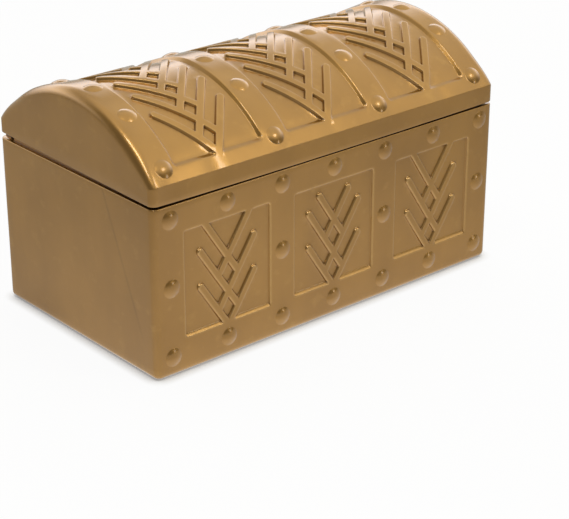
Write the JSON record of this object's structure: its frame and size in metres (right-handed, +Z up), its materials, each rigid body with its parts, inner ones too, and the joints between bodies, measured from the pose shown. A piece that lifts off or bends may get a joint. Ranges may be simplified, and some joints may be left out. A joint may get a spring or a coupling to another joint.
{
  "type": "treasure chest box",
  "caption": "Treasure chest keepsake box in gold moulded plastic: a tub with riveted strap frame and chevron panels, closed by a hinged barrel lid.",
  "frame": {"origin": "middle of the tub's flat underside", "axes": "+X along the chest to its right end, -Y out of the riveted front, +Z up"},
  "size_m": [0.178, 0.102, 0.1036],
  "materials": {
    "gold_plastic": "satin metallic gold, moulded",
    "pin_steel": "drawn wire"
  },
  "bodies": {
    "base": {"base_tub": "gold_plastic"},
    "lid": {"lid_shell": "gold_plastic", "hinge_pin_left": "pin_steel", "hinge_pin_right": "pin_steel"}
  },
  "joints": [
    {"name": "lid_hinge", "type": "hinge", "parent": "base", "child": "lid", "pos_m": [0, 0.0484, 0.06945], "axis": [-1, 0, 0], "range_deg": [0, 105]}
  ]
}
